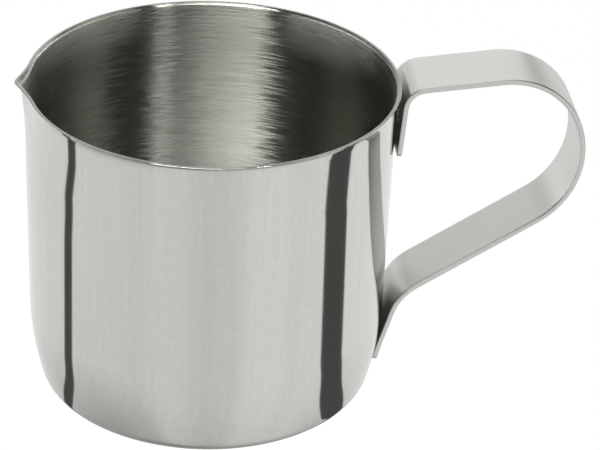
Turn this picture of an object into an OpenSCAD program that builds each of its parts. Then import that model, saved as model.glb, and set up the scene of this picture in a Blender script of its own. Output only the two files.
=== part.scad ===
// Candle melting pot: a deep-drawn steel pot with a pouring lip and a welded strap handle.
// The origin is the centre of the underside. +Z is up, +X points at the handle, -X at the pouring lip.

/* [Pot] */
// Outside diameter across the rim
rim_d = 90; // [84:1:100]
// Height from the table to the rim
pot_h = 79; // [76:1:86]
// Thickness of the steel sheet
sheet_t = 0.6; // [0.5:0.1:0.8]
// How much smaller the wall's radius is at its lower end than under the flare
wall_draw = 0.6; // [0.2:0.1:1]
// Height at which the wall starts to curve in towards the base
side_curve_h = 22.5; // [20:0.5:25]
// Radius of that gentle curve, seen from the side
side_curve_r = 74; // [68:1:80]
// Radius of the corner between the wall and the base
corner_r = 4.5; // [3.5:0.5:6]

/* [Rim and pouring lip] */
// Height of the gentle flare under the rim
flare_h = 16; // [12:1:18]
// How far the flare opens the wall out
flare_out = 0.5; // [0.3:0.1:0.8]
// Height and overhang of the edge, turned out at 45 degrees
turned_edge = 0.75; // [0.5:0.05:1]
// How far the pouring lip stands out past the round rim
lip_out = 1.6; // [1.2:0.1:2]
// How far down the wall the pouring lip reaches
lip_depth = 14; // [11:1:16]
// Angle between the two sides of the pouring lip, seen from above
lip_angle = 140; // [136:2:144]
// Radius of the pouring lip's tip, seen from above
lip_tip_r = 6; // [4:0.5:7]

/* [Handle] */
// Width of the steel strap
strap_w = 17.4; // [15:0.2:19]
// Thickness of the steel strap
strap_t = 1.2; // [1:0.1:1.5]
// Depth of the upper tab's free end below the rim
upper_tab_drop = 16.7; // [15:0.1:18]
// Length of the upper tab
upper_tab = 12.8; // [12:0.1:14]
// How far the upper tab leans out from the vertical
upper_tab_lean = 4.5; // [4:0.5:6]
// Length of the straight arm on top
top_arm = 18.4; // [17:0.2:20]
// Length of the lower tab
lower_tab = 12.5; // [11.5:0.5:13.5]
// Radius of the tabs' corners
tab_corner_r = 1; // [0.5:0.5:3]

/* [Welds] */
// Diameter of one spot weld
weld_d = 4; // [3:0.5:5]
// Distance from a tab's free end to its first weld
weld_inset = 3.2; // [3:0.2:4]
// Distance between the two welds of a tab
weld_pitch = 5; // [4.5:0.5:5.5]

/* [Hidden] */
$fn = 96;

wall_r = rim_d / 2 - turned_edge - flare_out;
wall_low_r = wall_r - wall_draw;
flare_top = pot_h - turned_edge;
flare_bottom = flare_top - flare_h;
flare_r = (flare_h * flare_h + flare_out * flare_out) / (2 * flare_out);
flare_centre = [wall_r + flare_r, flare_bottom];
above_rim = 1;

// Centre of the gentle side curve, and of the corner curve that it runs into
side_centre = [wall_low_r - side_curve_r, side_curve_h];
join_angle = asin((side_curve_h - corner_r) / (side_curve_r - corner_r));
corner_centre = side_centre + (side_curve_r - corner_r) * [cos(join_angle), -sin(join_angle)];

lip_tip_x = rim_d / 2 + lip_out;
lip_lean = atan((lip_tip_x - wall_r) / lip_depth);
// Length of each flat side of the pouring lip, past the place where it sinks into the wall
lip_side = rim_d / 9;

// Longest steps of the round outlines: tight curves, and the gentle ones of the wall
tight_step = 5;
gentle_step = 1.5;

// The strap's bends after the upper tab: [radius of the centreline, turn to the left]
shoulder = [5, -79.5];
outer_bend = [18.3, -74];
under_bend = [21.2, -80];
heel = [13.4, 46];
// How deep a weld goes into the strap and into the wall
weld_in_strap = 0.5;
weld_in_wall = 0.35;

// A place on the strap's centreline is [x, z, heading]. These give the place after a run or a bend.
function run_end(at, run) = [at[0] + run * cos(at[2]), at[1] + run * sin(at[2]), at[2]];
function bend_end(at, bend) =
    let (side = sign(bend[1]), after = at[2] + bend[1])
    [
        at[0] + side * bend[0] * (sin(after) - sin(at[2])),
        at[1] - side * bend[0] * (cos(after) - cos(at[2])),
        after
    ];

// Outside radius of the pot at a height, below the turned edge and above the corner
function pot_radius(z) =
    z < side_curve_h ? side_centre[0] + sqrt(side_curve_r ^ 2 - (side_curve_h - z) ^ 2) :
    z < flare_bottom ? wall_low_r + wall_draw * (z - side_curve_h) / (flare_bottom - side_curve_h) :
    wall_r + flare_r - sqrt(flare_r ^ 2 - (z - flare_bottom) ^ 2);

upper_tab_z = pot_h - upper_tab_drop;
strap_start = [
    pot_radius(upper_tab_z) + strap_t / 2 / cos(upper_tab_lean),
    upper_tab_z,
    90 - upper_tab_lean
];
under_end = bend_end(bend_end(run_end(bend_end(run_end(strap_start, upper_tab), shoulder), top_arm),
    outer_bend), under_bend);

// The lower arm is as long as it takes for the lower tab to lie tangent to the side curve
heel_end = bend_end(under_end, heel);
tab_normal = [-sin(heel_end[2]), cos(heel_end[2])];
arm_step = [cos(under_end[2]), sin(under_end[2])];
lower_arm = (side_curve_r + strap_t / 2 - ([heel_end[0], heel_end[1]] - side_centre) * tab_normal)
    / (arm_step * tab_normal);
// From the upper tab's free end to the lower tab's: [straight run, the bend after it]
strap_steps = [
    [upper_tab, shoulder],
    [top_arm, outer_bend],
    [0, under_bend],
    [lower_arm, heel]
];
strap_end = run_end(bend_end(run_end(under_end, lower_arm), heel), lower_tab);

// Points along an arc, both ends included
function arc_points(centre, radius, from, to, step) =
    let (count = ceil(abs(to - from) / step))
    [for (i = [0:count]) centre + radius * [cos(from + (to - from) * i / count), sin(from + (to - from) * i / count)]];

// ---- Pot ----

// Half of the pot's section, filled to the axis. inset moves the surface in by that much.
module half_section(inset) {
    top = pot_h + (inset > 0 ? above_rim : 0);
    // An offset of a 45 degree corner moves along the corner's bisector
    edge_start = flare_top + inset * tan(22.5);
    edge_end = wall_r + flare_out - inset + pot_h - edge_start;
    flare_angle = asin(flare_h / flare_r);
    polygon(concat(
        [[0, inset]],
        arc_points(corner_centre, corner_r - inset, -90, -join_angle, tight_step),
        arc_points(side_centre, side_curve_r - inset, -join_angle, 0, gentle_step),
        arc_points(flare_centre, flare_r + inset, 180, 180 - flare_angle, gentle_step),
        [[edge_end, pot_h]],
        inset > 0 ? [[edge_end, top]] : [],
        [[0, top]]
    ));
}

// The pouring lip's plan: two flat sides that meet in a rounded tip at the origin, pointing along -X
module lip_plan(inset) {
    half = lip_angle / 2;
    back = rim_d / 4;
    side = lip_side * [cos(half), sin(half)];
    tip = arc_points([lip_tip_r, 0], lip_tip_r - inset, 90 + half, 270 - half, tight_step);
    first = tip[0] + side;
    polygon(concat([[back, first[1]], first], tip, [[first[0], -first[1]], [back, -first[1]]]));
}

// The leaning wedge that the press pushes out of the rim
module lip_wedge(inset, top) {
    intersection() {
        translate([-lip_tip_x, 0, pot_h]) rotate([0, -lip_lean, 0])
            linear_extrude(3 * lip_depth, center = true) lip_plan(inset);
        translate([-rim_d, -rim_d / 2, 0]) cube([rim_d, rim_d, top]);
    }
}

module pot_body() {
    color("silver") difference() {
        union() {
            rotate_extrude() half_section(0);
            lip_wedge(0, pot_h);
        }
        rotate_extrude() half_section(sheet_t);
        lip_wedge(sheet_t, pot_h + above_rim);
        upper_nuggets();
        lower_nuggets();
    }
}

// ---- Handle ----

// A point beside a place on the centreline, on the left when off is positive
function beside(at, off) = [at[0] - off * sin(at[2]), at[1] + off * cos(at[2])];

// One face of the strap, seen from the side, from a place on its centreline to the lower tab's end
function face_points(at, off, i = 0) =
    i == len(strap_steps) ? [beside(run_end(at, lower_tab), off)] :
    let (
        run = strap_steps[i][0],
        bend = strap_steps[i][1],
        corner = run_end(at, run),
        facets = ceil(abs(bend[1]) / tight_step),
        first = run > 0 ? 0 : 1
    )
    concat(
        [for (k = [first:facets]) beside(bend_end(corner, [bend[0], bend[1] * k / facets]), off)],
        face_points(bend_end(corner, bend), off, i + 1)
    );

function reversed(list) = [for (i = [len(list) - 1:-1:0]) list[i]];

// Moves what follows to a place on the strap, where X runs along the strap and Z across it
module on_strap(at) {
    rotate([90, 0, 0]) translate([at[0], at[1], 0]) rotate([0, 0, at[2]]) children();
}

// What is cut off to round the two corners of a tab whose free end is at the origin
module tab_corner_cuts() {
    for (side = [-1, 1])
        rotate([90, 0, 0]) translate([0, side * strap_w / 2, -strap_t]) linear_extrude(2 * strap_t)
            difference() {
                square(2 * tab_corner_r, center = true);
                translate([tab_corner_r, -side * tab_corner_r]) circle(tab_corner_r);
            }
}

module strap_handle() {
    color("lightgray") difference() {
        rotate([90, 0, 0]) linear_extrude(strap_w, center = true)
            polygon(concat(
                [beside(strap_start, strap_t / 2)], face_points(strap_start, strap_t / 2),
                reversed(face_points(strap_start, -strap_t / 2)), [beside(strap_start, -strap_t / 2)]
            ));
        on_strap(strap_start) tab_corner_cuts();
        on_strap(strap_end) mirror([1, 0, 0]) tab_corner_cuts();
        upper_nuggets();
        lower_nuggets();
    }
}

// ---- Spot welds ----

// The welds of a tab, given its free end with the heading along the tab and the wall on the left
module nuggets(tab_end) {
    for (i = [0, 1]) {
        at = run_end(tab_end, weld_inset + i * weld_pitch);
        face = beside(at, strap_t / 2);
        gap = (face[0] - pot_radius(face[1])) * abs(sin(at[2]));
        on_strap(at) translate([0, strap_t / 2 - weld_in_strap, 0])
            rotate([-90, 0, 0]) cylinder(d = weld_d, h = weld_in_strap + gap + weld_in_wall);
    }
}

module upper_nuggets() {
    nuggets(strap_start);
}

module lower_nuggets() {
    nuggets([strap_end[0], strap_end[1], strap_end[2] + 180]);
}

module upper_spot_welds() {
    color("gray") upper_nuggets();
}

module lower_spot_welds() {
    color("gray") lower_nuggets();
}

pot_body();
strap_handle();
upper_spot_welds();
lower_spot_welds();
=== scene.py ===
"""Looks of the candle melting pot, built around its CAD frame.

Metres, in the part's own frame: the origin is the centre of the underside, +Z is up, +X points at the
handle and -X at the pouring lip.
"""

import math

import bpy
from mathutils import Matrix, Vector


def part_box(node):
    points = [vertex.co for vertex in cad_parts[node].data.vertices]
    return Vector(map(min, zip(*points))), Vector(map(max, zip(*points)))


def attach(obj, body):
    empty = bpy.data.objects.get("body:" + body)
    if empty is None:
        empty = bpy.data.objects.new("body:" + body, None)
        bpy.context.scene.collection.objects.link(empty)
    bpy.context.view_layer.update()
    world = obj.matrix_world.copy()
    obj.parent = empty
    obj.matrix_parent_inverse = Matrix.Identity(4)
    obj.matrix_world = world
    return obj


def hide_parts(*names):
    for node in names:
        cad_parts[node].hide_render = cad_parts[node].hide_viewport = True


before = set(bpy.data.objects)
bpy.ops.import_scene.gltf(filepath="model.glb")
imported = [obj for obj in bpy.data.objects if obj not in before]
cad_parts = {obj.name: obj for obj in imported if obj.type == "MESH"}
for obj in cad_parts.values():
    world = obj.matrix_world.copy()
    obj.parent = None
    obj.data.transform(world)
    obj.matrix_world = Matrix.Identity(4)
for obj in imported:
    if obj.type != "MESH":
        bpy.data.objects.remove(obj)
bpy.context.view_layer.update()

MM = 0.001

# ---- Pot: sizes from the frame, and the shapes that the CAD gives the sheet ----
pot_low, pot_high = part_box("pot_body")
rim_r = pot_high.y
pot_h = pot_high.z
sheet_t = 0.6 * MM
turned_edge = 0.75 * MM
flare_out = 0.5 * MM
flare_h = 16 * MM
wall_draw = 0.6 * MM
side_curve_h = 22.5 * MM
side_curve_r = 74 * MM
corner_r = 4.5 * MM
rim_bend_r = 0.8 * MM
edge_round = 0.14 * MM

wall_r = rim_r - turned_edge - flare_out
wall_low_r = wall_r - wall_draw
flare_top = pot_h - turned_edge
flare_bottom = flare_top - flare_h
flare_r = (flare_h**2 + flare_out**2) / (2 * flare_out)
flare_centre = (wall_r + flare_r, flare_bottom)
side_centre = (wall_low_r - side_curve_r, side_curve_h)
join_angle = math.asin((side_curve_h - corner_r) / (side_curve_r - corner_r))
corner_centre = (
    side_centre[0] + (side_curve_r - corner_r) * math.cos(join_angle),
    side_centre[1] - (side_curve_r - corner_r) * math.sin(join_angle),
)

# ---- Pouring lip ----
# How much the rounding of the tip takes off the length that the CAD gives the lip
lip_blunt = 0.35 * MM
lip_tip = -pot_low.x - lip_blunt
lip_half_angle = math.radians(67)
lip_tip_softness = 1.3 * MM
lip_depth = 14 * MM
lip_crease = 0.5 * MM
# The turned edge is wider at the lip, and runs back to its own width at this turn
lip_wide_edge = 0.7 * MM
lip_wide_turn = math.radians(15)
# Beside the lip the press pulls the rim in, most next to it and less further round
pull_in = 1.35 * MM
pull_power = 1.5
pull_depth = 26 * MM
# It comes in softly, from -pull_lead to pull_start
pull_start = math.radians(14)
pull_lead = pull_start / 4

# ---- Handle: the same bends as in the CAD ----
strap_low, strap_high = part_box("strap_handle")
strap_w = strap_high.y - strap_low.y
strap_t = 1.2 * MM
upper_tab_drop = 16.7 * MM
upper_tab = 12.8 * MM
upper_tab_lean = math.radians(4.5)
top_arm = 18.4 * MM
lower_tab = 12.5 * MM
tab_corner_r = 1 * MM
shoulder = (5 * MM, math.radians(-79.5))
outer_bend = (18.3 * MM, math.radians(-74))
under_bend = (21.2 * MM, math.radians(-80))
heel = (13.4 * MM, math.radians(46))
strap_edge_r = 0.28 * MM
# Share of its own radius that an edge keeps where the strap's end rounds off
least_edge = 0.3
# The lower tab is dished to the wall: it starts so far before the tab, and is whole so far from its end
dish_before = 2 * MM
dish_whole = 1 * MM

# ---- Spot welds: the round marks that the electrodes leave over each weld ----
weld_inset = 3.2 * MM
weld_pitch = 5 * MM
weld_count = 2
mark_r = 2.3 * MM
mark_depth = 0.13 * MM
# Share of a mark's radius that is flat
mark_flat = 0.62

# ---- How finely the meshes are cut ----
# Steps along the sheet's section. The base's rings lie between two shares of its flat radius.
base_steps = 6
base_rings = (0.1, 0.9)
corner_steps = 10
side_curve_steps = 14
wall_steps = 24
flare_steps = 20
# Columns round the pot, and how much they crowd together at the lip, from 0, evenly spread, to 1
column_count = 400
lip_crowding = 0.58
# Steps along the strap on its tabs and between them, and at its rounded ends
tab_step = 0.35 * MM
arm_step = 1.0 * MM
end_steps = 3
# Steps across the strap's faces, and round its edges
face_steps = 34
edge_steps = 4
# What counts as no length at all
nothing = 1e-12


# ---- Outlines ----

def arc(centre, radius, start, end, count):
    """count steps along an arc, both ends included. Angles in radians."""
    points = []
    for i in range(count + 1):
        angle = start + (end - start) * i / count
        points.append((centre[0] + radius * math.cos(angle), centre[1] + radius * math.sin(angle)))
    return points


def line(start, end, count):
    """count steps along a line, both ends included."""
    return [
        (start[0] + (end[0] - start[0]) * i / count, start[1] + (end[1] - start[1]) * i / count)
        for i in range(count + 1)
    ]


def rounded(before, corner, after, radius, count=4):
    """The corner between two straight runs, rounded with an arc drawn as a quadratic curve."""
    b, c, a = Vector(before), Vector(corner), Vector(after)
    turn = (c - b).angle(a - c)
    reach = radius * math.tan(turn / 2)
    start = c - (c - b).normalized() * reach
    end = c + (a - c).normalized() * reach
    points = []
    for i in range(count + 1):
        t = i / count
        p = start * (1 - t) ** 2 + c * 2 * t * (1 - t) + end * t**2
        points.append((p.x, p.y))
    return points


def side_rows(inset):
    """One face of the sheet from the base's centre to the start of the turned edge, moved in by inset."""
    flare_angle = math.asin(flare_h / flare_r)
    first_ring, last_ring = (corner_centre[0] * share for share in base_rings)
    rows = [(0.0, inset)]
    rows += line((first_ring, inset), (last_ring, inset), base_steps)
    rows += arc(corner_centre, corner_r - inset, -math.pi / 2, -join_angle, corner_steps)
    rows += arc(side_centre, side_curve_r - inset, -join_angle, 0, side_curve_steps)[1:]
    rows += line((wall_low_r - inset, side_curve_h), (wall_r - inset, flare_bottom), wall_steps)[1:]
    rows += arc(flare_centre, flare_r + inset, math.pi, math.pi - flare_angle, flare_steps)[1:-1]
    return rows


def sheet_section():
    """The sheet's section, from the underside's centre over the rim to the inside's centre.

    Also gives the rows at which the underside ends and the inside starts.
    """
    # The turned edge leans out at 45 degrees, so the bend on the inside lies a little higher
    bend_shift = sheet_t * math.tan(math.pi / 8)
    below = 2 * MM
    out_before = (rim_r - turned_edge, flare_top - below)
    out_bend = (rim_r - turned_edge, flare_top)
    out_edge = (rim_r, pot_h)
    in_bend = (rim_r - turned_edge - sheet_t, flare_top + bend_shift)
    in_edge = (in_bend[0] + pot_h - in_bend[1], pot_h)
    in_before = (in_bend[0], in_bend[1] - below)
    rows = side_rows(0.0)
    underside_end = 1 + base_steps + 1
    rows += rounded(out_before, out_bend, out_edge, rim_bend_r + sheet_t)
    rows += rounded(out_bend, out_edge, in_edge, edge_round)
    rows += rounded(out_edge, in_edge, in_bend, edge_round)
    inside_start = len(rows) - 1
    rows += rounded(in_edge, in_bend, in_before, rim_bend_r)
    rows += reversed(side_rows(sheet_t))
    return rows, underside_end, inside_start


def wall_shape(z):
    """Outside radius of the round wall at a height above the side curve, without the turned edge."""
    z = min(z, flare_top)
    if z < flare_bottom:
        return wall_low_r + wall_draw * (z - side_curve_h) / (flare_bottom - side_curve_h)
    return wall_r + flare_r - math.sqrt(flare_r**2 - (z - flare_bottom) ** 2)


def smooth_step(low, high, value):
    """0 up to low, 1 from high on, and a smooth rise between them."""
    t = min(max((value - low) / (high - low), 0.0), 1.0)
    return t * t * (3 - 2 * t)


def soft_max(a, b, width):
    """The larger of a and b, rounded off where they are within width of each other."""
    near = max(width - abs(a - b), 0.0)
    return max(a, b) + near**2 / (4 * width)


def lip_shift(turn, z):
    """How far the press moves the wall out at a turn from the lip's direction, and a height."""
    if z < flare_top - pull_depth:
        return 0.0
    turn = abs(turn)
    z = min(z, flare_top)
    round_wall = wall_shape(z)
    beside = max(1 - turn / (math.pi / 2), 0.0) ** pull_power
    beside *= smooth_step(-pull_lead, pull_start, turn)
    pulled = round_wall - pull_in * beside * smooth_step(flare_top - pull_depth, flare_top, z)
    # Seen from above the lip's side is a straight line as far as its foot, and then falls back
    foot = math.pi / 2 - lip_half_angle
    softness = lip_tip_softness / lip_tip
    across = math.sqrt(math.sin(min(turn, foot)) ** 2 + softness**2) - softness
    tip = lip_tip - turned_edge - lip_wide_edge
    side = tip / (math.cos(min(turn, foot)) + across / math.tan(lip_half_angle))
    side *= math.cos(min(max(turn - foot, 0.0), math.pi / 2)) ** 2
    # Seen from the side the throat is a hollow curve, steepest at the rim
    drop = min((flare_top - z) / lip_depth, 1.0)
    side -= (tip - wall_r) * (1 - (1 - drop) ** 2) + lip_crease * drop**2
    return soft_max(pulled, side, lip_crease) - round_wall


def wide_edge(turn, z):
    """How much further the turned edge stands out at the lip than round the rest of the rim."""
    share = (z - flare_top) / turned_edge
    return lip_wide_edge * max(share, 0.0) * (1 - smooth_step(0, lip_wide_turn, abs(turn)))


# ---- Meshes ----

def make_piece(name, points, faces, materials, face_materials=None):
    """A smooth mesh from points and faces, as a piece of the object."""
    mesh = bpy.data.meshes.new(name)
    mesh.from_pydata(points, [], faces)
    mesh.validate()
    for material in materials:
        mesh.materials.append(material)
    mesh.polygons.foreach_set("use_smooth", [True] * len(mesh.polygons))
    if face_materials:
        mesh.polygons.foreach_set("material_index", face_materials)
    mesh.update()
    piece = bpy.data.objects.new(name, mesh)
    bpy.context.scene.collection.objects.link(piece)
    return piece


def column_turns():
    """Turns round the pot from the lip, closest together at the lip, from -pi to pi."""
    turns = []
    for i in range(column_count):
        u = 2 * i / column_count - 1
        turns.append(math.pi * ((1 - lip_crowding) * u + lip_crowding * u**3))
    return turns


def pot_body(underside, outside, inside):
    """The drawn sheet as one closed mesh, with a material for each of its faces."""
    underside_slot, outside_slot, inside_slot = range(3)
    rows, underside_end, inside_start = sheet_section()
    turns = column_turns()
    count = len(turns)
    points = [(0.0, 0.0, rows[0][1])]
    for r, z in rows[1:-1]:
        for turn in turns:
            out = r + lip_shift(turn, z) + wide_edge(turn, z)
            points.append((-out * math.cos(turn), -out * math.sin(turn), z))
    points.append((0.0, 0.0, rows[-1][1]))
    last = len(points) - 1
    rings = len(rows) - 2
    faces = []
    face_materials = []
    for i in range(count):
        j = (i + 1) % count
        faces.append((0, 1 + j, 1 + i))
        face_materials.append(underside_slot)
    for row in range(rings - 1):
        if row + 1 < underside_end:
            slot = underside_slot
        else:
            slot = outside_slot if row + 1 < inside_start else inside_slot
        for i in range(count):
            j = (i + 1) % count
            a, b = 1 + row * count, 1 + (row + 1) * count
            faces.append((a + i, a + j, b + j, b + i))
            face_materials.append(slot)
    top = 1 + (rings - 1) * count
    for i in range(count):
        j = (i + 1) % count
        faces.append((top + i, top + j, last))
        face_materials.append(inside_slot)
    return make_piece("pot_shell", points, faces, [underside, outside, inside], face_materials)


# ---- Strap ----
# A place on the strap's centreline is (x, z, heading). A bend is (radius, turn to the left).

def run_end(at, run):
    """The place at the end of a straight run."""
    return (at[0] + run * math.cos(at[2]), at[1] + run * math.sin(at[2]), at[2])


def bend_end(at, bend):
    """The place at the end of a bend."""
    side = math.copysign(1, bend[1])
    after = at[2] + bend[1]
    return (
        at[0] + side * bend[0] * (math.sin(after) - math.sin(at[2])),
        at[1] - side * bend[0] * (math.cos(after) - math.cos(at[2])),
        after,
    )


def strap_steps():
    """The strap's start, and its runs and bends as (length, turn), as the CAD works them out."""
    tab_z = pot_h - upper_tab_drop
    tab_x = wall_shape(tab_z) + strap_t / 2 / math.cos(upper_tab_lean)
    start = (tab_x, tab_z, math.pi / 2 - upper_tab_lean)
    at = bend_end(run_end(start, upper_tab), shoulder)
    at = bend_end(bend_end(run_end(at, top_arm), outer_bend), under_bend)
    # The lower arm is as long as it takes for the lower tab to lie tangent to the side curve
    after_heel = bend_end(at, heel)
    normal = Vector((-math.sin(after_heel[2]), math.cos(after_heel[2])))
    off = Vector(after_heel[:2]) - Vector(side_centre)
    arm_way = Vector((math.cos(at[2]), math.sin(at[2])))
    lower_arm = (side_curve_r + strap_t / 2 - off.dot(normal)) / arm_way.dot(normal)
    steps = [(upper_tab, 0.0)]
    for run, (radius, turn) in ((0, shoulder), (top_arm, outer_bend), (0, under_bend), (lower_arm, heel)):
        if run:
            steps.append((run, 0.0))
        steps.append((radius * abs(turn), turn))
    steps.append((lower_tab, 0.0))
    return start, steps


def strap_distances(total):
    """Distances along the strap, closest at its rounded ends, and closer on its tabs than between them."""
    edge = strap_edge_r
    distances = [0.0]
    for i in range(1, end_steps + 1):
        distances.append(edge * (1 - math.cos(math.pi / 2 * i / end_steps)))
    while distances[-1] < total - edge:
        at = distances[-1]
        on_tab = at < upper_tab or at > total - lower_tab
        distances.append(min(at + (tab_step if on_tab else arm_step), total - edge))
    for i in range(1, end_steps + 1):
        distances.append(total - edge + edge * math.sin(math.pi / 2 * i / end_steps))
    return distances


def strap_place(start, steps, distance):
    """The place at a distance from the upper tab's end."""
    at, left = start, distance
    for length, turn in steps:
        share = min(left, length) / length
        if turn and share > 0:
            at = bend_end(at, (length / abs(turn), turn * share))
        elif not turn:
            at = run_end(at, length * share)
        left -= length * share
        if left <= nothing:
            break
    return at


def strap_size(to_end):
    """Half the strap's width, half its thickness and the radius of its edges, so far from its nearer end."""
    half_w = strap_w / 2
    if to_end < tab_corner_r:
        half_w -= tab_corner_r - math.sqrt(tab_corner_r**2 - (tab_corner_r - to_end) ** 2)
    half_t = strap_t / 2
    edge = strap_edge_r
    if to_end < edge:
        half_t -= edge - math.sqrt(edge**2 - (edge - to_end) ** 2)
        edge = max(edge - (strap_t / 2 - half_t), edge * least_edge)
    return half_w, half_t, edge


def strap_loop(half_w, half_t, edge):
    """The strap's rounded section as (across, off) pairs, off to the left of its heading."""
    loop = []
    for side_across, side_off in ((1, 1), (-1, 1), (-1, -1), (1, -1)):
        starts_face = side_across * side_off > 0
        for i in range(edge_steps + 1):
            angle = math.pi / 2 * i / edge_steps
            along, out = math.sin(angle), math.cos(angle)
            if starts_face:
                along, out = out, along
            across = side_across * (half_w - edge + edge * along)
            loop.append((across, side_off * (half_t - edge + edge * out)))
        if starts_face:
            for i in range(1, face_steps):
                across = side_across * (half_w - edge) * (1 - 2 * i / face_steps)
                loop.append((across, side_off * half_t))
    return loop


def dimple(distance, across, centres):
    """How deep an electrode's mark is at a place on a tab."""
    depth = 0.0
    for centre in centres:
        r = math.hypot(distance - centre, across)
        depth = max(depth, mark_depth * (1 - smooth_step(mark_r * mark_flat, mark_r, r)))
    return depth


def end_cap(first, size, flip):
    """Strips of faces across the strap's end, between its two long sides."""
    half = size // 2
    top = list(range(first, first + half))
    bottom = [first + half + (half - 1 - i) for i in range(half)]
    faces = []
    for i in range(half - 1):
        face = (top[i], top[i + 1], bottom[i + 1], bottom[i])
        faces.append(face if flip else face[::-1])
    return faces


def strap_handle(material):
    """The bent strap as one closed mesh, its lower tab dished to the wall behind it."""
    start, steps = strap_steps()
    total = sum(length for length, turn in steps)
    distances = strap_distances(total)
    upper_welds = [weld_inset + i * weld_pitch for i in range(weld_count)]
    lower_welds = [total - weld_inset - i * weld_pitch for i in range(weld_count)]
    points = []
    for distance in distances:
        x, z, heading = strap_place(start, steps, distance)
        loop = strap_loop(*strap_size(min(distance, total - distance)))
        dish = smooth_step(total - lower_tab - dish_before, total - dish_whole, distance)
        for across, off in loop:
            if off < 0:
                off += dimple(distance, across, upper_welds)
            else:
                off -= dimple(distance, across, lower_welds)
            off -= dish * across**2 / (2 * wall_low_r)
            points.append((x - off * math.sin(heading), across, z + off * math.cos(heading)))
    size = len(loop)
    faces = []
    for ring in range(len(distances) - 1):
        for i in range(size):
            j = (i + 1) % size
            a, b = ring * size, (ring + 1) * size
            faces.append((a + i, a + j, b + j, b + i))
    faces += end_cap(0, size, False)
    faces += end_cap((len(distances) - 1) * size, size, True)
    return make_piece("strap_loop", points, faces, [material])


# ---- Node helpers ----

def add(tree, kind, inputs=None, **settings):
    """A node with its settings, and its inputs given as values or as the sockets that feed them."""
    node = tree.nodes.new(kind)
    for key, value in settings.items():
        setattr(node, key, value)
    for key, value in (inputs or {}).items():
        if isinstance(value, bpy.types.NodeSocket):
            tree.links.new(value, node.inputs[key])
        else:
            node.inputs[key].default_value = value
    return node


def calc(tree, operation, *values, clamp=False):
    """A Math node's result."""
    inputs = dict(enumerate(values))
    return add(tree, "ShaderNodeMath", inputs, operation=operation, use_clamp=clamp).outputs[0]


def average(tree, a, b):
    """The mean of two values."""
    return calc(tree, "MULTIPLY", calc(tree, "ADD", a, b), 0.5)


def blend(tree, factor, a, b):
    """a where the factor is 0 and b where it is 1."""
    return add(tree, "ShaderNodeMix", {"Factor": factor, "A": a, "B": b}).outputs["Result"]


def ramp(tree, value, stops):
    """A grey ramp over (position, level) stops."""
    node = add(tree, "ShaderNodeValToRGB", {"Fac": value})
    elements = node.color_ramp.elements
    while len(elements) < len(stops):
        elements.new(0.5)
    for element, (position, level) in zip(elements, stops):
        element.position = position
        element.color = (level, level, level, 1)
    return node.outputs["Color"]


def tones(tree, value, dark, light, low=0.3, high=0.7):
    """A colour between dark and light, over the middle of a noise's range."""
    node = add(tree, "ShaderNodeValToRGB", {"Fac": value})
    node.color_ramp.elements[0].position = low
    node.color_ramp.elements[1].position = high
    node.color_ramp.elements[0].color = (*dark, 1)
    node.color_ramp.elements[1].color = (*light, 1)
    return node.outputs["Color"]


def map_range(tree, value, low, high):
    """A 0 to 1 value moved into a range."""
    inputs = {"Value": value, "To Min": low, "To Max": high}
    return add(tree, "ShaderNodeMapRange", inputs).outputs["Result"]


def noise(tree, vector, scale=1.0, detail=3.0):
    """A noise's value. The scale is in cells to the metre, unless the vector is scaled already."""
    inputs = {"Vector": vector, "Scale": scale, "Detail": detail, "Roughness": 0.55}
    return add(tree, "ShaderNodeTexNoise", inputs).outputs["Fac"]


def lines(tree, place, per_metre, detail=3.0):
    """A noise drawn out into lines: its cells to the metre differ along x, y and z."""
    drawn_out = add(tree, "ShaderNodeMapping", {"Vector": place, "Scale": per_metre}).outputs["Vector"]
    return noise(tree, drawn_out, detail=detail)


def bump(tree, height, strength, depth):
    """The normal of a surface with small heights on it, at a depth in metres."""
    inputs = {"Height": height, "Strength": strength, "Distance": depth}
    return add(tree, "ShaderNodeBump", inputs).outputs["Normal"]


def new_steel(name, tint):
    """A metal material, its tree, its shader and its object coordinates.

    The tint stays on the colour's socket, also where a pattern is linked to it later.
    """
    material = bpy.data.materials.new(name)
    material.use_nodes = True
    tree = material.node_tree
    shader = tree.nodes["Principled BSDF"]
    shader.inputs["Base Color"].default_value = (*tint, 1)
    shader.inputs["Metallic"].default_value = 1.0
    place = add(tree, "ShaderNodeTexCoord").outputs["Object"]
    return material, tree, shader, place


def feed(tree, shader, **sockets):
    """Links sockets to the shader's inputs: colour, roughness, normal or tangent."""
    names = {"color": "Base Color", "roughness": "Roughness", "normal": "Normal", "tangent": "Tangent"}
    for key, socket in sockets.items():
        tree.links.new(socket, shader.inputs[names[key]])


# ---- Materials ----

def polished_outside():
    """Sheet polished on a belt that ran up and down the wall, with a faint haze and very fine scratches."""
    material, tree, shader, place = new_steel("polished_steel", (0.62, 0.625, 0.59))
    belt = lines(tree, place, (1100, 1100, 30))
    mottle = noise(tree, place, scale=750.0, detail=5.0)
    color = tones(tree, average(tree, belt, mottle), dark=(0.59, 0.595, 0.56), light=(0.65, 0.655, 0.62))
    haze = noise(tree, place, scale=60.0)
    roughness = map_range(tree, haze, 0.045, 0.085)
    scratches = lines(tree, place, (300, 300, 2600), detail=2.0)
    normal = bump(tree, scratches, strength=0.02, depth=0.02 * MM)
    feed(tree, shader, color=color, roughness=roughness, normal=normal)
    return material


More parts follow.
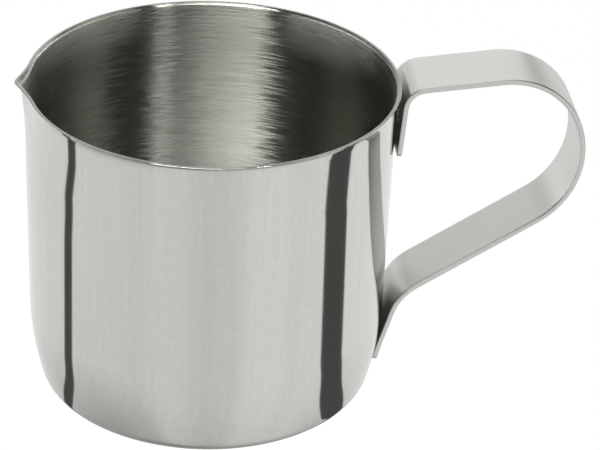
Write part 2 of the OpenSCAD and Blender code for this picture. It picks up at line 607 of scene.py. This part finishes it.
def brushed_inside():
    """Sheet brushed round and round, so that a light is drawn out up and down the wall."""
    rougher_at_base = 0.2
    stroke_swing = math.radians(22)
    material, tree, shader, place = new_steel("brushed_inside", (0.45, 0.45, 0.42))
    shader.inputs["Anisotropic"].default_value = 1.0
    shader.inputs["Anisotropic Rotation"].default_value = 0.25
    tangent = add(tree, "ShaderNodeTangent", direction_type="RADIAL", axis="Z").outputs["Tangent"]
    streaks = lines(tree, place, (60, 60, 2400), detail=4.0)
    height = add(tree, "ShaderNodeSeparateXYZ", {"Vector": place}).outputs["Z"]
    depth = calc(tree, "DIVIDE", calc(tree, "SUBTRACT", pot_h, height), pot_h)
    added = calc(tree, "MULTIPLY", depth, rougher_at_base)
    roughness = calc(tree, "ADD", map_range(tree, streaks, 0.22, 0.32), added)
    flat_normal = bump(tree, streaks, strength=0.35, depth=0.1 * MM)
    # Each stroke of the brush leaves the surface turned a little to one side
    strokes = lines(tree, place, (170, 170, 4200))
    swing = calc(tree, "MULTIPLY", calc(tree, "SUBTRACT", strokes, 0.5), stroke_swing)
    turned = {"Vector": flat_normal, "Angle": swing}
    normal = add(tree, "ShaderNodeVectorRotate", turned, rotation_type="Z_AXIS").outputs["Vector"]
    long_lines = lines(tree, place, (45, 45, 3000), detail=4.0)
    both = average(tree, strokes, long_lines)
    color = tones(tree, both, dark=(0.35, 0.345, 0.285), light=(0.54, 0.54, 0.51))
    feed(tree, shader, color=color, roughness=roughness, normal=normal, tangent=tangent)
    return material


def turned_underside():
    """The base's underside: satin, with the fine rings that polishing on a spindle leaves."""
    rings_per_metre = 3200.0
    material, tree, shader, place = new_steel("underside_steel", (0.60, 0.60, 0.57))
    parts = add(tree, "ShaderNodeSeparateXYZ", {"Vector": place})
    squares = [calc(tree, "MULTIPLY", parts.outputs[axis], parts.outputs[axis]) for axis in "XY"]
    radius = calc(tree, "SQRT", calc(tree, "ADD", *squares))
    ring = calc(tree, "MULTIPLY", radius, rings_per_metre)
    rings = noise(tree, add(tree, "ShaderNodeCombineXYZ", {"X": ring}).outputs["Vector"], detail=2.0)
    roughness = map_range(tree, rings, 0.22, 0.38)
    normal = bump(tree, rings, strength=0.25, depth=0.05 * MM)
    feed(tree, shader, roughness=roughness, normal=normal)
    return material


def satin_strap():
    """The strap's satin finish, brushed along its length before it was bent."""
    material, tree, shader, place = new_steel("satin_strap", (0.66, 0.66, 0.63))
    grain = lines(tree, place, (90, 2600, 90))
    cloud = noise(tree, place, scale=110.0)
    roughness = map_range(tree, average(tree, grain, cloud), 0.28, 0.42)
    normal = bump(tree, grain, strength=0.12, depth=0.04 * MM)
    feed(tree, shader, roughness=roughness, normal=normal)
    return material


def weld_metal():
    """Resolidified steel of a spot weld: duller and darker, faintly mottled."""
    material, tree, shader, place = new_steel("weld_steel", (0.42, 0.41, 0.38))
    mottle = noise(tree, place, scale=900.0)
    feed(tree, shader, roughness=map_range(tree, mottle, 0.35, 0.6))
    return material


# ---- Studio ----
view_turn = math.radians(6.62)
view_pitch = math.radians(28.91)
view_roll = math.radians(2.32)
camera_place = Vector((22.2 * MM, -592.1 * MM, 368.0 * MM))
camera_lens = 168.0
sensor_width = 36.0

# What the polished steel reflects below the horizon, where it stands for the pale floor: level by azimuth
# in degrees, 0 towards the camera and 90 to the right.
floor_levels = [
    (-180, 0.92), (-100, 0.90), (-60, 0.87), (-43, 0.84), (-32, 0.87), (-18, 0.87), (-2, 0.79),
    (6, 0.79), (22, 0.84), (32, 0.94), (50, 0.95), (60, 0.91), (78, 0.94), (99, 0.98), (130, 0.98),
    (180, 0.92),
]
# Above the horizon, a dim backdrop behind the pot, and a low glow on the left and behind: each has a level
# by azimuth, a level by elevation, and a strength.
backdrop = (
    [(-180, 1.0), (-160, 1.0), (-148, 0.0), (150, 0.0), (162, 1.0), (180, 1.0)],
    [(0, 0.2), (15, 1.0), (40, 1.0), (55, 0.0), (90, 0.0)],
    0.5,
)
low_glow = (
    [(-180, 1.0), (-60, 1.0), (-45, 0.1), (130, 0.1), (145, 1.0), (180, 1.0)],
    [(0, 1.0), (6, 0.9), (10, 0.06), (14, 0.045), (90, 0.045)],
    1.4,
)
# Share of the floor's light that remains, by elevation, towards the pot's own shadow
floor_fade = [(-90, 0.5), (-76, 0.66), (-62, 0.85), (-45, 0.97), (-30, 1.0), (0, 1.0)]
# Low down, the floor is darker on the left and behind: the share of its light that remains there, by
# azimuth, and how much of that loss shows, by elevation
floor_sides = [
    (-180, 0.6), (-120, 0.55), (-82, 0.6), (-60, 0.7), (-45, 0.8), (-28, 1.0), (75, 1.0), (110, 0.7),
    (180, 0.6),
]
floor_sides_rise = [(-90, 1.0), (-54, 1.0), (-31, 0.0), (0, 0.0)]
# The two dark gaps in the floor, one on each side. Each has an inner and an outer edge, given as its azimuth
# in degrees at the gap's start, to the right or to the left, how fast that grows with each degree below the
# start, and how many degrees below it the edge flares away.
gap_level = 0.085
gap_start = -28.5
gap_flare = 20.0
gap_flare_power = 8.0
right_gap = ((78.7, 0.95, 21.5), (98.3, 1.3, 14.8))
left_gap = ((90.9, 0.85, 17.5), (99.4, 1.0, 14.4))
right_gap_end = -50
left_gap_end = -47

# The bank of soft lights over the camera, brightest on the left, seen in the brushed inside: each panel's
# azimuth and width in degrees, and its radiance
bank_panels = [(-29, 13, 23.0), (-14, 16, 16.0), (2, 15, 11.5), (17, 14, 6.0), (36, 6, 27.0)]
bank_elevation = 35
bank_height = 18
bank_bounces = 0
# Soft cards: name, azimuth, elevation, width and height in degrees, radiance, and the bounces it lasts
strap_cards = [
    # Behind the pot, seen in the satin faces of the handle's two arms
    ("card_behind", 190, 28, 60, 45, 0.5, 4),
    ("card_left", -140, 15, 50, 30, 0.1, 4),
    # High up behind, seen in the wall's reflection of the handle
    ("card_ceiling", -160, 68, 60, 44, 0.7, 2),
    # In front, seen in the strap's edges, and in its top face from behind
    ("card_front", 0, 45, 70, 60, 1.2, 0),
    ("card_corner", 45, 18, 50, 30, 0.5, 0),
]
# Seen in the strap's inner faces, past the pot, which doesn't shade it
inner_card = ("card_inner", -90, 10, 60, 50, 0.3, 4)
pot_cards = [
    # On the right, seen in the inside of the pouring lip
    ("card_lip", 90, 35, 40, 40, 0.8, 0),
    # Over the pot, seen in the turned edge
    ("card_top", 0, 62, 80, 36, 0.8, 0),
    # Low on both sides, shining in over the rim so that they light only the top of the inside
    ("card_low_right", 95, 6, 90, 9, 4.2, 0),
    ("card_low_left", -80, 6, 70, 9, 4.2, 0),
    # Behind the pot on the right, seen in the turned edge
    ("card_edge", 135, 14, 50, 28, 0.7, 0),
]
light_distance = 2.5

# The floor: how bright its paper is, and how much it shines by itself so that only a faint shadow is left
paper_level = 0.8
paper_glow = 0.93
floor_half = 3.0
floor_drop = 0.02 * MM


def by_azimuth(tree, turn, levels):
    """(degrees, level) stops from -180 to 180 as a ramp over a turn from 0 to 1."""
    return ramp(tree, turn, [((angle + 180) / 360, level) for angle, level in levels])


def below_horizon(tree, share, levels):
    """(degrees, level) stops from -90 to 0 as a ramp over a share from 0 to 1."""
    return ramp(tree, share, [((angle + 90) / 90, level) for angle, level in levels])


def above_horizon(tree, share, levels):
    """(degrees, level) stops from 0 to 90 as a ramp over a share from 0 to 1."""
    return ramp(tree, share, [(angle / 90, level) for angle, level in levels])


def gap_edge(tree, nearer, edge):
    """The azimuth of a gap's edge at so many degrees below the gap's start."""
    azimuth, slope, end = edge
    straight = calc(tree, "MULTIPLY_ADD", nearer, slope, azimuth)
    flare = calc(tree, "POWER", calc(tree, "DIVIDE", nearer, end), gap_flare_power)
    return calc(tree, "MULTIPLY_ADD", flare, gap_flare, straight)


def between(tree, azimuth, elevation, gap, low):
    """1 where the azimuth lies between a gap's two edges at that elevation, and above its low end."""
    nearer = calc(tree, "MAXIMUM", calc(tree, "SUBTRACT", gap_start, elevation), 0.0)
    inner, outer = (gap_edge(tree, nearer, edge) for edge in gap)
    past_inner = calc(tree, "SUBTRACT", azimuth, inner, clamp=True)
    before_outer = calc(tree, "SUBTRACT", outer, azimuth, clamp=True)
    high_enough = calc(tree, "GREATER_THAN", elevation, low)
    return calc(tree, "MULTIPLY", calc(tree, "MULTIPLY", past_inner, before_outer), high_enough)


def floor_light(tree, azimuth, turn, elevation):
    """The pale floor with its two dark gaps, below the horizon."""
    share = calc(tree, "DIVIDE", calc(tree, "ADD", elevation, 90.0), 90.0, clamp=True)
    floor = by_azimuth(tree, turn, floor_levels)
    floor = calc(tree, "MULTIPLY", floor, below_horizon(tree, share, floor_fade))
    side_loss = calc(tree, "SUBTRACT", 1.0, by_azimuth(tree, turn, floor_sides))
    side_loss = calc(tree, "MULTIPLY", side_loss, below_horizon(tree, share, floor_sides_rise))
    floor = calc(tree, "MULTIPLY", floor, calc(tree, "SUBTRACT", 1.0, side_loss))
    right = between(tree, azimuth, elevation, right_gap, right_gap_end)
    left = between(tree, calc(tree, "MULTIPLY", azimuth, -1.0), elevation, left_gap, left_gap_end)
    return blend(tree, calc(tree, "MAXIMUM", right, left), floor, gap_level)


def upper_light(tree, turn, elevation):
    """The backdrop and the low glow, above the horizon."""
    share = calc(tree, "DIVIDE", elevation, 90.0, clamp=True)
    upper = 0.0
    for levels, rise, strength in (backdrop, low_glow):
        lit = calc(tree, "MULTIPLY", by_azimuth(tree, turn, levels), strength)
        lit = calc(tree, "MULTIPLY", lit, above_horizon(tree, share, rise))
        upper = calc(tree, "ADD", upper, lit)
    return upper


def studio_world():
    """A light tent: white to the camera, and by direction to everything that reflects it."""
    world = bpy.data.worlds.new("studio")
    bpy.context.scene.world = world
    world.use_nodes = True
    tree = world.node_tree
    way = add(tree, "ShaderNodeTexCoord").outputs["Generated"]
    way = add(tree, "ShaderNodeVectorRotate", {"Vector": way, "Angle": view_turn}, rotation_type="Z_AXIS")
    parts = add(tree, "ShaderNodeSeparateXYZ", {"Vector": way.outputs["Vector"]})
    towards_camera = calc(tree, "MULTIPLY", parts.outputs["Y"], -1.0)
    azimuth = calc(tree, "DEGREES", calc(tree, "ARCTAN2", parts.outputs["X"], towards_camera))
    turn = calc(tree, "MULTIPLY_ADD", azimuth, 1 / 360, 0.5)
    elevation = calc(tree, "DEGREES", calc(tree, "ARCSINE", parts.outputs["Z"]))
    above = calc(tree, "GREATER_THAN", elevation, 0.0)
    floor = floor_light(tree, azimuth, turn, elevation)
    level = blend(tree, above, floor, upper_light(tree, turn, elevation))
    seen = add(tree, "ShaderNodeLightPath").outputs["Is Camera Ray"]
    tree.links.new(blend(tree, seen, level, 1.0), tree.nodes["Background"].inputs["Color"])


def linked(name, pieces):
    """A collection of pieces for a light to be linked to."""
    collection = bpy.data.collections.new(name)
    for piece in pieces:
        collection.objects.link(piece)
    return collection


def panel(name, azimuth, elevation, wide, high, radiance, bounces, only_on, shaded_by=None):
    """A soft rectangular light, its place and size in degrees as the pot sees it."""
    turn, rise = math.radians(azimuth), math.radians(elevation)
    way = Vector((math.sin(turn) * math.cos(rise), -math.cos(turn) * math.cos(rise), math.sin(rise)))
    way = Matrix.Rotation(-view_turn, 3, "Z") @ way
    data = bpy.data.lights.new(name, "AREA")
    data.shape = "RECTANGLE"
    data.size = 2 * light_distance * math.tan(math.radians(wide / 2)) * math.cos(rise)
    data.size_y = 2 * light_distance * math.tan(math.radians(high / 2))
    data.energy = radiance * math.pi * data.size * data.size_y
    data.cycles.max_bounces = bounces
    light = bpy.data.objects.new(name, data)
    light.location = Vector((0, 0, pot_h / 2)) + way * light_distance
    light.rotation_mode = "QUATERNION"
    light.rotation_quaternion = (-way).to_track_quat("-Z", "Y")
    light.visible_camera = False
    bpy.context.scene.collection.objects.link(light)
    light.light_linking.receiver_collection = linked(name + "_receivers", only_on)
    if shaded_by:
        light.light_linking.blocker_collection = linked(name + "_blockers", shaded_by)


def studio_lights(pot, strap):
    """The bank and the cards, each shining on one of the two pieces."""
    for number, (azimuth, wide, radiance) in enumerate(bank_panels):
        name = f"bank_{number}"
        panel(name, azimuth, bank_elevation, wide, bank_height, radiance, bank_bounces, [pot])
    for card in strap_cards:
        panel(*card, only_on=[strap])
    panel(*inner_card, only_on=[strap], shaded_by=[strap])
    for card in pot_cards:
        panel(*card, only_on=[pot])


def studio_floor():
    """A pale floor that keeps only a faint shadow, and isn't there from below."""
    mesh = bpy.data.meshes.new("floor")
    corners = [(-1, -1), (1, -1), (1, 1), (-1, 1)]
    mesh.from_pydata([(x * floor_half, y * floor_half, 0) for x, y in corners], [], [(0, 1, 2, 3)])
    floor = bpy.data.objects.new("floor", mesh)
    bpy.context.scene.collection.objects.link(floor)
    floor.location.z = -floor_drop
    floor.visible_glossy = False
    material = bpy.data.materials.new("floor_paper")
    material.use_nodes = True
    tree = material.node_tree
    paper = add(tree, "ShaderNodeBsdfDiffuse", {"Color": (paper_level, paper_level, paper_level, 1)})
    lit = add(tree, "ShaderNodeEmission", {"Color": (1, 1, 1, 1), "Strength": paper_glow})
    both = add(tree, "ShaderNodeAddShader", {0: paper.outputs[0], 1: lit.outputs[0]})
    behind = add(tree, "ShaderNodeNewGeometry").outputs["Backfacing"]
    clear = add(tree, "ShaderNodeBsdfTransparent")
    shown = add(tree, "ShaderNodeMixShader", {0: behind, 1: both.outputs[0], 2: clear.outputs[0]})
    tree.links.new(shown.outputs[0], tree.nodes["Material Output"].inputs["Surface"])
    mesh.materials.append(material)


def photo_camera():
    """The camera at the photo's angle: pitched down, and rolled a little."""
    data = bpy.data.cameras.new("photo_camera")
    data.lens = camera_lens
    data.sensor_width = sensor_width
    data.clip_start = 0.05
    data.clip_end = 50.0
    camera = bpy.data.objects.new("photo_camera", data)
    bpy.context.scene.collection.objects.link(camera)
    forward = Vector((0, math.cos(view_pitch), -math.sin(view_pitch)))
    right = Vector((1, 0, 0))
    up = right.cross(forward)
    rolled_right = math.cos(view_roll) * right + math.sin(view_roll) * up
    rolled_up = rolled_right.cross(forward)
    axes = Matrix((rolled_right, rolled_up, -forward)).transposed().to_4x4()
    to_part = Matrix.Rotation(-view_turn, 4, "Z")
    camera.matrix_world = to_part @ Matrix.Translation(camera_place) @ axes
    bpy.context.scene.camera = camera


# ---- The object ----
pot = pot_body(underside=turned_underside(), outside=polished_outside(), inside=brushed_inside())
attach(pot, "root")
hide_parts("pot_body")

strap = strap_handle(satin_strap())
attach(strap, "root")
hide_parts("strap_handle")

weld_material = weld_metal()
for node_name in ("upper_spot_welds", "lower_spot_welds"):
    weld_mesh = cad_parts[node_name].data
    weld_mesh.materials.clear()
    weld_mesh.materials.append(weld_material)

# ---- The scene ----
studio_world()
studio_lights(pot, strap)
studio_floor()
photo_camera()
bpy.context.scene.view_settings.view_transform = "Standard"
